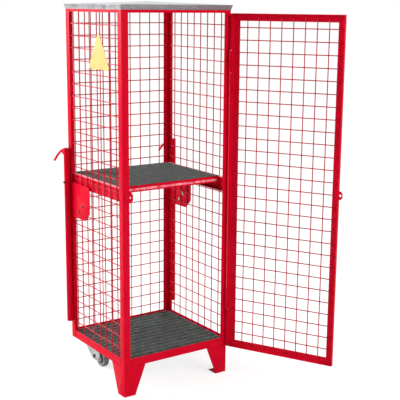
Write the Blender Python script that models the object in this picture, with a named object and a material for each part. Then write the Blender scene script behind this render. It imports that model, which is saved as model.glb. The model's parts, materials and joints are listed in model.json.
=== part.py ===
"""Mesh-sided gas cylinder storage box on two folded feet and two castors.

A welded angle-iron cage with a galvanised tray roof, an open-bar floor and an
open-bar shelf. Three sides are filled with 50 mm welded wire mesh. The front is
a mesh door on two weld-on barrel hinges, shown standing open.

Units are metres, +Z is up. The origin is on the ground at the middle of the
sole of the front left foot. Most sizes below are given in the cage frame: X to
the right and Y to the back from the centre of the footprint, Z from the ground.
"""

import math

import bmesh
import bpy
from mathutils import Matrix, Vector
from mathutils.geometry import convex_hull_2d, tessellate_polygon

# Seams between touching pieces
SEAM = 0.0003
MITRE_SEAM = 0.00025

# Cage: outer faces of the posts, and the angle iron they are made of
WIDTH = 0.513
DEPTH = 0.463
BASE_Z = 0.127
ROOF_EDGE_Z = 1.5815
POST_LEG = 0.030
WALL = 0.003
BASE_RAIL_H = 0.035
BASE_RAIL_FLANGE = 0.025
TOP_RAIL_H = 0.030
TOP_RAIL_FLANGE = 0.030

# Roof tray: a sheet that rises a little to its middle, with a skirt that leans
# out towards the fold
ROOF_SHEET = 0.0015
ROOF_RISE = 0.012
ROOF_SKIRT = 0.0205
ROOF_FLARE = 0.005

# Welded wire mesh
PITCH = 0.050
WIRE = 0.0035
WIRE_DEPTH = 0.0055
WIRE_LAP = 0.015
CAGE_ROW_RISE = 0.0746
DOOR_ROW_RISE = 0.0678

# Open-bar gratings, floor and shelf
GRATING_H = 0.025
GRATING_BAR = 0.003
GRATING_EDGE = 0.011
GRATING_BARS = 12
GRATING_TIES = 3

# Shelf: its frame hangs between two side runners
SHELF_RISE = 0.030
SHELF_SETBACK = 0.0485
SHELF_RAIL_H = 0.026
SHELF_RAIL_FLANGE = 0.020
RUNNER_Z = 0.814
RUNNER_H = 0.053
RUNNER_FLANGE = 0.025
SHELF_SIDE_H = 0.050
SHELF_PLAY = 0.001

# Plates on the two sides, behind the shelf's rear half
SIDE_PLATE_LENGTH = 0.153
SIDE_PLATE_DROP = 0.133
SIDE_PLATE_H = 0.150
SIDE_PLATE_CHAMFER = 0.038
SIDE_PLATE_ROUND = 0.012
ROUND_STEPS = 4

# Folded feet at the two front corners
FOOT_TOP_WIDTH = 0.102
FOOT_SOLE_WIDTH = 0.054
SOLE_THICKNESS = 0.003

# Door leaf of mitred angle, in the frame of its own hinge line
HINGE_INSET = 0.0085
HINGE_STANDOFF = 0.0105
DOOR_BELOW_FRAME = 0.002
DOOR_UNDER_ROOF = 0.012
DOOR_EDGE = 0.008
DOOR_FACE = 0.014
DOOR_LEG = 0.030
DOOR_RETURN = 0.0165
DOOR_OPEN_DEG = 117.1

# Weld-on barrel hinges
LOWER_BARREL_RISE = 0.215
UPPER_BARREL_DROP = 0.194
BARREL_R = 0.007
BARREL_H = 0.045
BARREL_PLAY = 0.0005
BARREL_STEPS = 16
PIN_R = 0.0037
PIN_H = 0.036
PIN_PLAY = 0.0004
BARREL_LUG = 0.0025

# Padlock tab on the left post and lug on the door's free edge
TAB_INSET = 0.0085
TAB_W = 0.037
TAB_Z = 0.815
TAB_H = 0.041
TAB_CHAMFER = 0.009
TAB_THICKNESS = 0.0025
LOCK_HOLE_R = 0.005
LOCK_HOLE_INSET = 0.013
LOCK_HOLE_STEPS = 12
LUG_RISE = 0.014
LUG_H = 0.035
LUG_REACH = 0.019
LUG_LAP = 0.012
LUG_CHAMFER = 0.008

# Push handles on the outer faces of the rear posts
HANDLE_TUBE_R = 0.0135
HANDLE_TUBE_WALL = 0.002
HANDLE_TUBE_RISE = 0.078
HANDLE_TUBE_ABOVE_RUNNER = 0.164
HANDLE_STEPS = 12
HANDLE_SETBACK = 0.0115
GRIP_R = 0.005
GRIP_REACH = 0.106
GRIP_DROP = 0.060
GRIP_START = 0.010
GRIP_POINTS = 9
GUSSET_H = 0.030
GUSSET_POINTS = 4

# Castors at the back
CASTOR_INSET = 0.0915
AXLE_SETBACK = 0.1115
WHEEL_R = 0.040
WHEEL_W = 0.024
TYRE_DEPTH = 0.012
TYRE_ROUND = 0.002
RIM_INSET = 0.003
WHEEL_STEPS = 16
AXLE_R = 0.005
AXLE_STEPS = 12
AXLE_HEAD_R = 0.0085
AXLE_HEAD_H = 0.006
AXLE_PLAY = 0.0003
HUB_R = 0.011
HUB_WEB = 0.008
WHEEL_SIDE_GAP = 0.0053
FORK_PLATE = 0.003
FORK_LAG = 0.012
FORK_REAR_INSET = 0.001
FORK_HEEL_DROP = 0.063
FORK_TOE_LAG = 0.056
FORK_TOE_DROP = 0.104
FORK_NOSE_R = 0.016
FORK_NOSE_STEPS = 16

# Places that follow from the sizes above
HALF_W = WIDTH / 2
HALF_D = DEPTH / 2
ROOF_UNDER_Z = ROOF_EDGE_Z - ROOF_SHEET
FRAME_TOP_Z = ROOF_UNDER_Z - SEAM
SOLE_MIDDLE = FOOT_SOLE_WIDTH / 2
CAGE_CENTRE = (HALF_W - SOLE_MIDDLE, HALF_D - SOLE_MIDDLE, 0.0)
INNER_SIDE = HALF_W - WALL - WIRE_DEPTH - 2 * SEAM
INNER_BACK = HALF_D - WALL - WIRE_DEPTH - 2 * SEAM
HINGE_X = HALF_W - HINGE_INSET
HINGE_Y = -HALF_D - HINGE_STANDOFF
DOOR_Z = BASE_Z - DOOR_BELOW_FRAME
DOOR_TOP_Z = ROOF_EDGE_Z - ROOF_SKIRT - DOOR_UNDER_ROOF
DOOR_H = DOOR_TOP_Z - DOOR_Z
DOOR_W = 2 * (HINGE_X - DOOR_EDGE)
SHELF_Z = RUNNER_Z + SHELF_RISE
SHELF_FRONT_Y = SHELF_SETBACK - HALF_D
LUG_Z = TAB_Z + LUG_RISE
AXLE_Y = HALF_D - AXLE_SETBACK


def clear_scene():
    for old in list(bpy.data.objects):
        bpy.data.objects.remove(old, do_unlink=True)


def make_finish(name, colour, roughness, metallic):
    """One Principled material."""
    finish = bpy.data.materials.new(name)
    finish.use_nodes = True
    shader = finish.node_tree.nodes["Principled BSDF"]
    shader.inputs["Base Color"].default_value = (*colour, 1.0)
    shader.inputs["Roughness"].default_value = roughness
    shader.inputs["Metallic"].default_value = metallic
    finish.diffuse_color = (*colour, 1.0)
    return finish


FINISHES = {
    "red_paint": ((0.55, 0.01, 0.03), 0.40, 0.0),
    "galvanised": ((0.42, 0.43, 0.44), 0.45, 0.8),
    "grating_steel": ((0.12, 0.14, 0.12), 0.55, 0.6),
    "wheel_tyre": ((0.05, 0.05, 0.05), 0.80, 0.0),
    "wheel_hub": ((0.30, 0.31, 0.32), 0.50, 0.0),
    "zinc_bolt": ((0.45, 0.45, 0.43), 0.35, 0.9),
}


def finish_of(slot, name):
    colour, roughness, metallic = FINISHES[slot]
    return make_finish(f"{slot}_{name}", colour, roughness, metallic)


def make_empty(name, location, parent=None):
    empty = bpy.data.objects.new(name, None)
    empty.location = location
    empty.parent = parent
    bpy.context.collection.objects.link(empty)
    return empty


def make_object(name, bm, slot, parent, location=(0.0, 0.0, 0.0), smooth=False):
    """Turn a bmesh into a named object that hangs on its parent."""
    bmesh.ops.recalc_face_normals(bm, faces=bm.faces)
    mesh = bpy.data.meshes.new(name)
    bm.to_mesh(mesh)
    bm.free()
    if smooth:
        mesh.shade_smooth()
        mesh.set_sharp_from_angle(angle=math.radians(35))
    piece = bpy.data.objects.new(name, mesh)
    piece.data.materials.append(finish_of(slot, name))
    piece.location = location
    piece.parent = parent
    bpy.context.collection.objects.link(piece)
    return piece


def box_bmesh(low, high):
    """A box between two corners."""
    size = Vector(high) - Vector(low)
    centre = (Vector(high) + Vector(low)) / 2
    bm = bmesh.new()
    bmesh.ops.create_cube(bm, size=1.0, matrix=Matrix.Translation(centre) @ Matrix.Diagonal((*size, 1.0)))
    return bm


def place(plane, a, b, c):
    """Point from two profile coordinates and the coordinate along the run."""
    if plane == "xy":
        return Vector((a, b, c))
    if plane == "yz":
        return Vector((c, a, b))
    return Vector((a, c, b))


def prism_bmesh(outline, plane, low, high, holes=()):
    """Extrude a flat outline, with round or other holes, between two levels."""
    bm = bmesh.new()
    loops = [outline, *holes]
    rings = []
    for loop in loops:
        bottom = [bm.verts.new(place(plane, a, b, low)) for a, b in loop]
        top = [bm.verts.new(place(plane, a, b, high)) for a, b in loop]
        rings.append((bottom, top))
        for i in range(len(loop)):
            k = (i + 1) % len(loop)
            bm.faces.new((bottom[i], bottom[k], top[k], top[i]))
    if not holes:
        bm.faces.new(rings[0][0])
        bm.faces.new(rings[0][1])
        return bm
    flat = [vert for bottom, _ in rings for vert in bottom]
    flat_top = [vert for _, top in rings for vert in top]
    fill = tessellate_polygon([[Vector((a, b, 0.0)) for a, b in loop] for loop in loops])
    for triangle in fill:
        bm.faces.new([flat[i] for i in triangle])
        bm.faces.new([flat_top[i] for i in triangle])
    return bm


def angle_outline(corner, legs, wall):
    """Six points of an angle section; the signs of the legs give their way."""
    a, b = corner
    wall_a = math.copysign(wall, legs[0])
    wall_b = math.copysign(wall, legs[1])
    return [
        (a, b),
        (a + legs[0], b),
        (a + legs[0], b + wall_b),
        (a + wall_a, b + wall_b),
        (a + wall_a, b + legs[1]),
        (a, b + legs[1]),
    ]


def circle(centre, radius, steps, turn=0.0):
    angles = [turn + 2 * math.pi * i / steps for i in range(steps)]
    return [(centre[0] + radius * math.cos(t), centre[1] + radius * math.sin(t)) for t in angles]


def chamfered(low, high, cut):
    """Rectangle with its four corners cut off."""
    return [
        (low[0] + cut, low[1]),
        (high[0] - cut, low[1]),
        (high[0], low[1] + cut),
        (high[0], high[1] - cut),
        (high[0] - cut, high[1]),
        (low[0] + cut, high[1]),
        (low[0], high[1] - cut),
        (low[0], low[1] + cut),
    ]


def lathe_bmesh(profile, steps):
    """Turn a closed (along, radius) profile about the X axis."""
    bm = bmesh.new()
    rings = []
    for along, radius in profile:
        if radius == 0.0:
            rings.append([bm.verts.new((along, 0.0, 0.0))])
            continue
        points = circle((0.0, 0.0), radius, steps, turn=math.pi / steps)
        rings.append([bm.verts.new((along, y, z)) for y, z in points])
    for ring, following in zip(rings, rings[1:] + rings[:1]):
        if len(ring) == 1 and len(following) == 1:
            continue
        for i in range(steps):
            k = (i + 1) % steps
            corners = [ring[i % len(ring)], ring[k % len(ring)]]
            corners += [following[k % len(following)], following[i % len(following)]]
            unique = list(dict.fromkeys(corners))
            bm.faces.new(unique)
    return bm


def columns_across(clear_width):
    """As many wires as the clear width takes, centred on it."""
    count = int(clear_width / PITCH)
    return [(i - (count - 1) / 2) * PITCH for i in range(count)]


def rows_up_to(first, top):
    """Wires from the first one up to the last below `top`."""
    count = 1 + int((top - first) / PITCH)
    return [first + i * PITCH for i in range(count)]


def lattice_bmesh(us, vs, u_ends, v_ends):
    """Crossing bars of triangular section, fused where they cross.

    The flat backs lie at depth 0 and the ridges at the depth of two wires.
    """
    bm = bmesh.new()
    half = WIRE / 2
    crest = WIRE_DEPTH
    ridge = {}
    corner = {}
    for i, u in enumerate(us):
        for j, v in enumerate(vs):
            ridge[i, j] = bm.verts.new((u, v, crest))
            for su in (-1, 1):
                for sv in (-1, 1):
                    corner[i, j, su, sv] = bm.verts.new((u + su * half, v + sv * half, 0.0))
            square = [corner[i, j, *signs] for signs in ((-1, -1), (1, -1), (1, 1), (-1, 1))]
            bm.faces.new(square)

    def end_cap(left, right, top):
        verts = [bm.verts.new(left), bm.verts.new(right), bm.verts.new(top)]
        bm.faces.new(verts)
        return verts

    def bar(stations):
        for (left, right, top), (left_2, right_2, top_2) in zip(stations[::2], stations[1::2]):
            bm.faces.new((left, right, right_2, left_2))
            bm.faces.new((left, left_2, top_2, top))
            bm.faces.new((right_2, right, top, top_2))

    for i, u in enumerate(us):
        stations = [end_cap((u - half, v_ends[0], 0), (u + half, v_ends[0], 0), (u, v_ends[0], crest))]
        for j in range(len(vs)):
            stations.append((corner[i, j, -1, -1], corner[i, j, 1, -1], ridge[i, j]))
            stations.append((corner[i, j, -1, 1], corner[i, j, 1, 1], ridge[i, j]))
        stations.append(end_cap((u - half, v_ends[1], 0), (u + half, v_ends[1], 0), (u, v_ends[1], crest)))
        bar(stations)
    for j, v in enumerate(vs):
        stations = [end_cap((u_ends[0], v - half, 0), (u_ends[0], v + half, 0), (u_ends[0], v, crest))]
        for i in range(len(us)):
            stations.append((corner[i, j, -1, -1], corner[i, j, -1, 1], ridge[i, j]))
            stations.append((corner[i, j, 1, -1], corner[i, j, 1, 1], ridge[i, j]))
        stations.append(end_cap((u_ends[1], v - half, 0), (u_ends[1], v + half, 0), (u_ends[1], v, crest)))
        bar(stations)
    return bm


def grid_bmesh(xs, ys, bar, low_z, high_z):
    """Flat bars on edge, fused where they cross, closed by the outermost bars."""
    bm = bmesh.new()
    half = bar / 2
    corner = {}
    last_i = len(xs) - 1
    last_j = len(ys) - 1
    levels = (low_z, high_z)
    for i, x in enumerate(xs):
        for j, y in enumerate(ys):
            for sx in (-1, 1):
                for sy in (-1, 1):
                    for level in (0, 1):
                        spot = (x + sx * half, y + sy * half, levels[level])
                        corner[i, j, sx, sy, level] = bm.verts.new(spot)

    def wall(key_a, key_b):
        low = (corner[*key_a, 0], corner[*key_b, 0])
        high = (corner[*key_b, 1], corner[*key_a, 1])
        bm.faces.new((*low, *high))

    for i in range(len(xs)):
        for j in range(len(ys)):
            for level in (0, 1):
                signs = ((-1, -1), (1, -1), (1, 1), (-1, 1))
                bm.faces.new([corner[i, j, sx, sy, level] for sx, sy in signs])
                if i < last_i:
                    bm.faces.new((corner[i, j, 1, -1, level], corner[i + 1, j, -1, -1, level],
                                  corner[i + 1, j, -1, 1, level], corner[i, j, 1, 1, level]))
                if j < last_j:
                    bm.faces.new((corner[i, j, -1, 1, level], corner[i, j, 1, 1, level],
                                  corner[i, j + 1, 1, -1, level], corner[i, j + 1, -1, -1, level]))
            if i < last_i:
                wall((i, j, 1, -1), (i + 1, j, -1, -1))
                wall((i, j, 1, 1), (i + 1, j, -1, 1))
            if j < last_j:
                wall((i, j, -1, 1), (i, j + 1, -1, -1))
                wall((i, j, 1, 1), (i, j + 1, 1, -1))
            if i == 0:
                wall((i, j, -1, -1), (i, j, -1, 1))
            if i == last_i:
                wall((i, j, 1, -1), (i, j, 1, 1))
            if j == 0:
                wall((i, j, -1, -1), (i, j, 1, -1))
            if j == last_j:
                wall((i, j, -1, 1), (i, j, 1, 1))
    return bm


def side_name(side):
    return "left" if side < 0 else "right"


def make_posts(cage):
    """Four corner posts, one leg along each face."""
    for row, back in (("front", -1), ("rear", 1)):
        for side in (-1, 1):
            corner = (side * HALF_W, back * HALF_D)
            outline = angle_outline(corner, (-side * POST_LEG, -back * POST_LEG), WALL)
            bm = prism_bmesh(outline, "xy", BASE_Z, FRAME_TOP_Z)
            make_object(f"{row}_{side_name(side)}_post", bm, "red_paint", cage)


def make_ring(cage, label, low_z, height, flange, upright):
    """Four rails between the posts; `upright` is 1 with the flange at the bottom."""
    edge_z = low_z if upright > 0 else low_z + height
    span_x = HALF_W - POST_LEG - SEAM
    span_y = HALF_D - POST_LEG - SEAM
    for row, back in (("front", -1), ("rear", 1)):
        outline = angle_outline((back * HALF_D, edge_z), (-back * flange, upright * height), WALL)
        bm = prism_bmesh(outline, "yz", -span_x, span_x)
        make_object(f"{row}_{label}_rail", bm, "red_paint", cage)
    for side in (-1, 1):
        outline = angle_outline((side * HALF_W, edge_z), (-side * flange, upright * height), WALL)
        bm = prism_bmesh(outline, "xz", -span_y, span_y)
        make_object(f"{side_name(side)}_{label}_rail", bm, "red_paint", cage)


def make_roof(cage):
    """Tray of folded sheet whose skirt stands off the posts by one seam."""
    foot_x = HALF_W + SEAM
    foot_y = HALF_D + SEAM
    low_z = ROOF_EDGE_Z - ROOF_SKIRT
    lean = ROOF_FLARE * (ROOF_SKIRT - ROOF_SHEET) / ROOF_SKIRT
    rings = (
        (foot_x + lean, foot_y + lean, ROOF_UNDER_Z),
        (foot_x, foot_y, low_z),
        (foot_x + ROOF_SHEET, foot_y + ROOF_SHEET, low_z),
        (foot_x + ROOF_SHEET + ROOF_FLARE, foot_y + ROOF_SHEET + ROOF_FLARE, ROOF_EDGE_Z),
    )
    bm = bmesh.new()
    loops = []
    for half_x, half_y, z in rings:
        corners = ((-1, -1), (1, -1), (1, 1), (-1, 1))
        loops.append([bm.verts.new((sx * half_x, sy * half_y, z)) for sx, sy in corners])
    for ring, following in zip(loops, loops[1:]):
        for i in range(4):
            k = (i + 1) % 4
            bm.faces.new((ring[i], ring[k], following[k], following[i]))
    for ring, z in ((loops[0], ROOF_UNDER_Z), (loops[-1], ROOF_EDGE_Z)):
        peak = bm.verts.new((0, 0, z + ROOF_RISE))
        for i in range(4):
            bm.faces.new((ring[i], ring[(i + 1) % 4], peak))
    make_object("roof_tray", bm, "galvanised", cage)


def make_cage_mesh(cage):
    """Welded mesh on the two sides and the back, inside the posts."""
    rows = rows_up_to(BASE_Z + CAGE_ROW_RISE, FRAME_TOP_Z - TOP_RAIL_H)
    row_ends = (BASE_Z + WALL + WIRE_DEPTH, FRAME_TOP_Z - WALL - WIRE_DEPTH)
    lap_y = HALF_D - POST_LEG + WIRE_LAP
    lap_x = HALF_W - POST_LEG + WIRE_LAP
    for side in (-1, 1):
        bm = lattice_bmesh(columns_across(DEPTH - 2 * POST_LEG), rows, (-lap_y, lap_y), row_ends)
        back_x = side * (HALF_W - WALL - SEAM)
        for vert in bm.verts:
            u, v, w = vert.co
            vert.co = (back_x - side * w, u, v)
        make_object(f"{side_name(side)}_mesh", bm, "red_paint", cage)
    bm = lattice_bmesh(columns_across(WIDTH - 2 * POST_LEG), rows, (-lap_x, lap_x), row_ends)
    back_y = HALF_D - WALL - SEAM
    for vert in bm.verts:
        u, v, w = vert.co
        vert.co = (u, back_y - w, v)
    make_object("back_mesh", bm, "red_paint", cage)


def spread(low, high, count):
    step = (high - low) / (count - 1)
    return [low + i * step for i in range(count)]


def make_floor(cage):
    """Open-bar floor lying on the flanges of the base rails."""
    low_z = BASE_Z + WALL + SEAM
    reach_x = HALF_W - GRATING_EDGE - GRATING_BAR / 2
    reach_y = HALF_D - GRATING_EDGE - GRATING_BAR / 2
    xs = spread(-reach_x, reach_x, GRATING_TIES)
    ys = spread(-reach_y, reach_y, GRATING_BARS)
    bm = grid_bmesh(xs, ys, GRATING_BAR, low_z, low_z + GRATING_H)
    make_object("floor_grating", bm, "grating_steel", cage)


def make_shelf(cage):
    """Runners from post to post, and a shelf frame that stands on them."""
    runner_x = INNER_SIDE
    runner_y = HALF_D - WALL - SEAM
    side_x = runner_x - WALL - SEAM
    side_z = RUNNER_Z + WALL + SEAM
    rail_x = side_x - WALL - SEAM
    back_y = INNER_BACK
    for side in (-1, 1):
        corner = (side * runner_x, RUNNER_Z)
        outline = angle_outline(corner, (-side * RUNNER_FLANGE, RUNNER_H), WALL)
        bm = prism_bmesh(outline, "xz", -runner_y, runner_y)
        make_object(f"{side_name(side)}_shelf_runner", bm, "red_paint", cage)
        faces = sorted((side * side_x, side * (side_x - WALL)))
        bm = box_bmesh((faces[0], SHELF_FRONT_Y, side_z), (faces[1], back_y, side_z + SHELF_SIDE_H))
        make_object(f"shelf_{side_name(side)}_member", bm, "red_paint", cage)
    for label, face_y, way in (("front", SHELF_FRONT_Y, 1), ("rear", back_y, -1)):
        outline = angle_outline((face_y, SHELF_Z), (way * SHELF_RAIL_FLANGE, SHELF_RAIL_H), WALL)
        bm = prism_bmesh(outline, "yz", -rail_x, rail_x)
        make_object(f"shelf_{label}_member", bm, "red_paint", cage)
    low_z = SHELF_Z + WALL + SEAM
    reach_x = rail_x - SHELF_PLAY - GRATING_BAR / 2
    inset_y = WALL + SHELF_PLAY + GRATING_BAR / 2
    xs = spread(-reach_x, reach_x, GRATING_TIES)
    ys = spread(SHELF_FRONT_Y + inset_y, back_y - inset_y, GRATING_BARS)
    bm = grid_bmesh(xs, ys, GRATING_BAR, low_z, low_z + GRATING_H)
    make_object("shelf_grating", bm, "grating_steel", cage)


def make_side_plates(cage):
    """Plates on the mesh, butted to the edge of each rear post."""
    rear_y = HALF_D - POST_LEG - SEAM
    front_y = rear_y - SIDE_PLATE_LENGTH
    low_z = RUNNER_Z - SIDE_PLATE_DROP
    top_z = low_z + SIDE_PLATE_H
    outline = [(rear_y, low_z), (rear_y, top_z)]
    centre = (front_y + SIDE_PLATE_ROUND, top_z - SIDE_PLATE_ROUND)
    for i in range(ROUND_STEPS + 1):
        turn = math.radians(90 + 90 * i / ROUND_STEPS)
        outline.append((centre[0] + SIDE_PLATE_ROUND * math.cos(turn),
                        centre[1] + SIDE_PLATE_ROUND * math.sin(turn)))
    outline.append((front_y, low_z + SIDE_PLATE_CHAMFER))
    outline.append((front_y + SIDE_PLATE_CHAMFER, low_z))
    for side in (-1, 1):
        faces = sorted((side * HALF_W, side * (HALF_W - WALL)))
        bm = prism_bmesh(outline, "yz", *faces)
        make_object(f"{side_name(side)}_side_plate", bm, "red_paint", cage)


def make_feet(cage):
    """Folded corner feet: an angle that narrows downwards onto a square sole."""
    top_z = BASE_Z - SEAM
    for side in (-1, 1):
        bm = bmesh.new()

        def corner(across, along, z):
            return bm.verts.new((side * (HALF_W - across), along - HALF_D, z))

        def angle_ring(width, z):
            outline = angle_outline((0.0, 0.0), (width, width), WALL)
            return [corner(a, b, z) for a, b in outline]

        w = FOOT_SOLE_WIDTH
        sole = [corner(a, b, 0.0) for a, b in ((0, 0), (w, 0), (w, w), (0, w))]
        low = angle_ring(w, SOLE_THICKNESS)
        high = angle_ring(FOOT_TOP_WIDTH, top_z)
        far = corner(w, w, SOLE_THICKNESS)
        bm.faces.new(sole)
        bm.faces.new((sole[0], sole[1], low[1], low[0]))
        bm.faces.new((sole[1], sole[2], far, low[2], low[1]))
        bm.faces.new((sole[2], sole[3], low[5], low[4], far))
        bm.faces.new((sole[3], sole[0], low[0], low[5]))
        bm.faces.new((low[3], low[2], far, low[4]))
        for i in range(6):
            k = (i + 1) % 6
            bm.faces.new((low[i], low[k], high[k], high[i]))
        bm.faces.new(high)
        make_object(f"front_{side_name(side)}_foot", bm, "red_paint", cage)


def mitred_bmesh(length):
    """One side of the door frame, mitred at both ends.

    The run is along u from 0 to length, v goes in from the edge of the leaf,
    and depth goes from the outer face towards the cage.
    """
    outline = angle_outline((0.0, 0.0), (DOOR_LEG, DOOR_RETURN), WALL)
    bm = bmesh.new()
    start = [bm.verts.new((inset + MITRE_SEAM, inset, depth)) for inset, depth in outline]
    end = [bm.verts.new((length - inset - MITRE_SEAM, inset, depth)) for inset, depth in outline]
    for i in range(len(outline)):
        k = (i + 1) % len(outline)
        bm.faces.new((start[i], start[k], end[k], end[i]))
    bm.faces.new(start)
    bm.faces.new(end)
    return bm


def make_door(hinge):
    """Door leaf in its own frame: the hinge line at the origin, the leaf along -X."""
    hinge_x = -DOOR_EDGE
    free_x = -DOOR_EDGE - DOOR_W
    sides = (
        ("door_hinge_stile", DOOR_H, lambda u, v: (hinge_x - v, DOOR_Z + u)),
        ("door_free_stile", DOOR_H, lambda u, v: (free_x + v, DOOR_Z + u)),
        ("door_bottom_rail", DOOR_W, lambda u, v: (free_x + u, DOOR_Z + v)),
        ("door_top_rail", DOOR_W, lambda u, v: (free_x + u, DOOR_TOP_Z - v)),
    )
    for name, length, lay in sides:
        bm = mitred_bmesh(length)
        for vert in bm.verts:
            u, v, depth = vert.co
            x, z = lay(u, v)
            vert.co = (x, depth - DOOR_FACE, z)
        make_object(name, bm, "red_paint", hinge)

    middle_x = (hinge_x + free_x) / 2
    columns = [middle_x + offset for offset in columns_across(DOOR_W - 2 * DOOR_LEG)]
    rows = rows_up_to(DOOR_Z + DOOR_ROW_RISE, DOOR_TOP_Z - DOOR_LEG)
    inset = DOOR_LEG - WIRE_LAP
    bm = lattice_bmesh(columns, rows, (free_x + inset, hinge_x - inset),
                       (DOOR_Z + inset, DOOR_TOP_Z - inset))
    back_y = WALL + SEAM - DOOR_FACE
    for vert in bm.verts:
        u, v, w = vert.co
        vert.co = (u, back_y + w, v)
    make_object("door_mesh", bm, "red_paint", hinge)


def make_door_lug(hinge):
    """Padlock lug on the inner edge of the free stile."""
    free_x = -DOOR_EDGE - DOOR_W
    inner_y = DOOR_RETURN - DOOR_FACE + SEAM
    low = (free_x - LUG_REACH, LUG_Z)
    high = (free_x + LUG_LAP, LUG_Z + LUG_H)
    outline = [
        (low[0] + LUG_CHAMFER, low[1]),
        (high[0], low[1]),
        (high[0], high[1]),
        (low[0] + LUG_CHAMFER, high[1]),
        (low[0], high[1] - LUG_CHAMFER),
        (low[0], low[1] + LUG_CHAMFER),
    ]
    hole = circle((low[0] + LUG_REACH / 2, LUG_Z + LUG_H / 2), LOCK_HOLE_R, LOCK_HOLE_STEPS)
    bm = prism_bmesh(outline, "xz", inner_y, inner_y + TAB_THICKNESS, [hole])
    make_object("door_lock_lug", bm, "red_paint", hinge)


def make_lock_tab(cage):
    """Padlock tab on the face of the front left post."""
    low = (TAB_INSET - HALF_W, TAB_Z)
    high = (low[0] + TAB_W, TAB_Z + TAB_H)
    hole = circle((high[0] - LOCK_HOLE_INSET, TAB_Z + TAB_H / 2), LOCK_HOLE_R, LOCK_HOLE_STEPS)
    face_y = -HALF_D - SEAM
    bm = prism_bmesh(chamfered(low, high, TAB_CHAMFER), "xz", face_y - TAB_THICKNESS, face_y, [hole])
    make_object("lock_tab", bm, "red_paint", cage)


def barrel_outline(reach, way):
    """Round barrel with a flat weld lug that points along `way`, in degrees."""
    opening = math.degrees(math.asin(BARREL_LUG / BARREL_R))
    sweep = 360 - 2 * opening
    points = []
    for i in range(BARREL_STEPS + 1):
        turn = math.radians(way + opening + sweep * i / BARREL_STEPS)
        points.append((BARREL_R * math.cos(turn), BARREL_R * math.sin(turn)))
    turn = math.radians(way)
    for across in (-BARREL_LUG, BARREL_LUG):
        points.append((reach * math.cos(turn) - across * math.sin(turn),
                       reach * math.sin(turn) + across * math.cos(turn)))
    return points


def pinned_barrel_bmesh(outline, pin, low_z, seat_z, tip_z):
    """Solid barrel with a round pin standing on its top face."""
    bm = bmesh.new()
    bottom = [bm.verts.new((x, y, low_z)) for x, y in outline]
    rim = [bm.verts.new((x, y, seat_z)) for x, y in outline]
    foot = [bm.verts.new((x, y, seat_z)) for x, y in pin]
    tip = [bm.verts.new((x, y, tip_z)) for x, y in pin]
    for ring, upper in ((bottom, rim), (foot, tip)):
        for i in range(len(ring)):
            k = (i + 1) % len(ring)
            bm.faces.new((ring[i], ring[k], upper[k], upper[i]))
    bm.faces.new(bottom)
    bm.faces.new(tip)
    seat = rim + foot
    loops = [[Vector((x, y, 0.0)) for x, y in loop] for loop in (outline, pin)]
    for triangle in tessellate_polygon(loops):
        bm.faces.new([seat[i] for i in triangle])
    return bm


def make_hinges(cage, hinge):
    """Lower barrel with its pin on the post, upper bored barrel on the door."""
    post_reach = HINGE_STANDOFF - SEAM
    door_reach = DOOR_EDGE - SEAM
    pin = circle((0.0, 0.0), PIN_R, BARREL_STEPS)
    bore = circle((0.0, 0.0), PIN_R + PIN_PLAY, BARREL_STEPS)
    levels = (("lower", DOOR_Z + LOWER_BARREL_RISE), ("upper", DOOR_TOP_Z - UPPER_BARREL_DROP))
    for label, z in levels:
        bm = pinned_barrel_bmesh(barrel_outline(post_reach, 90), pin, z - BARREL_H, z, z + PIN_H)
        make_object(f"{label}_hinge_post_barrel", bm, "red_paint", cage, (HINGE_X, HINGE_Y, 0.0))
        low_z = z + BARREL_PLAY
        bm = prism_bmesh(barrel_outline(door_reach, 180), "xy", low_z, low_z + BARREL_H, [bore])
        make_object(f"{label}_hinge_door_barrel", bm, "red_paint", hinge)


def grip_path(start_y, start_z):
    """Points along the middle of a grip: level at first, then bending down."""
    points = []
    for i in range(GRIP_POINTS):
        bend = max(0, i - 1) / (GRIP_POINTS - 2)
        points.append(Vector((start_y + GRIP_REACH * i / (GRIP_POINTS - 1),
                              start_z - GRIP_DROP * bend ** 1.5)))
    return points


def make_grip(name, x, points, cage):
    """Bent rod through the points."""
    path = bpy.data.curves.new(name, "CURVE")
    path.dimensions = "3D"
    path.bevel_depth = GRIP_R
    path.bevel_resolution = 2
    path.use_fill_caps = True
    spline = path.splines.new("POLY")
    spline.points.add(len(points) - 1)
    for knot, (y, z) in zip(spline.points, points):
        knot.co = (x, y, z, 1.0)
    path.materials.append(finish_of("red_paint", name))
    grip = bpy.data.objects.new(name, path)
    grip.parent = cage
    bpy.context.collection.objects.link(grip)


def gusset_outline(points):
    """Web plate in the corner between the tube and the underside of the grip."""
    outline = [(points[0].x, points[0].y - GUSSET_H)]
    for i in range(GUSSET_POINTS):
        before = points[max(0, i - 1)]
        way = (points[i] - before).normalized() + (points[i + 1] - points[i]).normalized()
        way.normalize()
        spot = points[i] + (GRIP_R + SEAM) * Vector((way.y, -way.x))
        outline.append((spot.x, spot.y))
    return outline


def make_handles(cage):
    """Upright tube on the side of each rear post, with a bent grip and its web."""
    tube_y = HALF_D - HANDLE_SETBACK
    low_z = BASE_Z + HANDLE_TUBE_RISE
    top_z = RUNNER_Z + HANDLE_TUBE_ABOVE_RUNNER
    points = grip_path(tube_y + HANDLE_TUBE_R + SEAM, top_z - GRIP_START)
    for side in (-1, 1):
        name = side_name(side)
        tube_x = side * (HALF_W + SEAM + HANDLE_TUBE_R)
        bore = circle((tube_x, tube_y), HANDLE_TUBE_R - HANDLE_TUBE_WALL, HANDLE_STEPS)
        tube = circle((tube_x, tube_y), HANDLE_TUBE_R, HANDLE_STEPS)
        bm = prism_bmesh(tube, "xy", low_z, top_z, [bore])
        make_object(f"{name}_handle_tube", bm, "red_paint", cage)
        make_grip(f"{name}_handle_grip", tube_x, points, cage)
        bm = prism_bmesh(gusset_outline(points), "yz", tube_x - WALL / 2, tube_x + WALL / 2)
        make_object(f"{name}_handle_gusset", bm, "red_paint", cage)


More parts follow.
